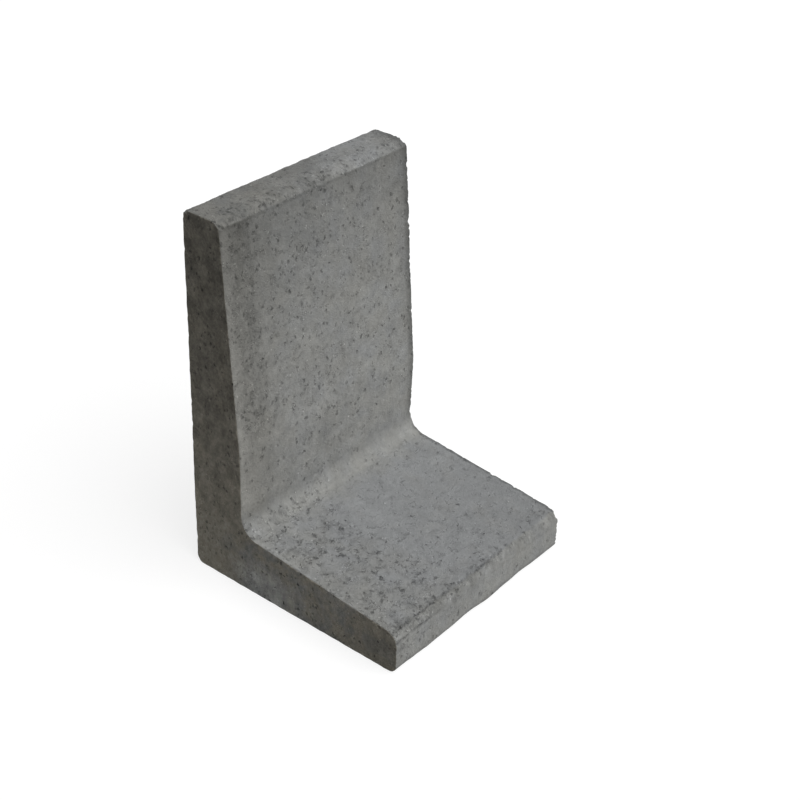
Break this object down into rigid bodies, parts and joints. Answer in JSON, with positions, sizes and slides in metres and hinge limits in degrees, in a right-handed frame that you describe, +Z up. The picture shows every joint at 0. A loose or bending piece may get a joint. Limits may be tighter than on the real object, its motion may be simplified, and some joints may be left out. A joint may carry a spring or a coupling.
{
  "type": "l-shaped retaining wall unit",
  "caption": "Precast concrete retaining wall unit of L section: a tapered upright stem on a foot that thins to its tip. It stands on its foot, holds back soil and butts end to end.",
  "frame": {"origin": "on the ground, under the middle of the unit's bounding box", "axes": "+X along the wall, +Y to the back of the stem with the foot towards -Y, +Z up"},
  "size_m": [0.4, 0.4, 0.6],
  "materials": {
    "concrete": "matte"
  },
  "bodies": {
    "root": {"wall_unit": "concrete"}
  },
  "joints": []
}
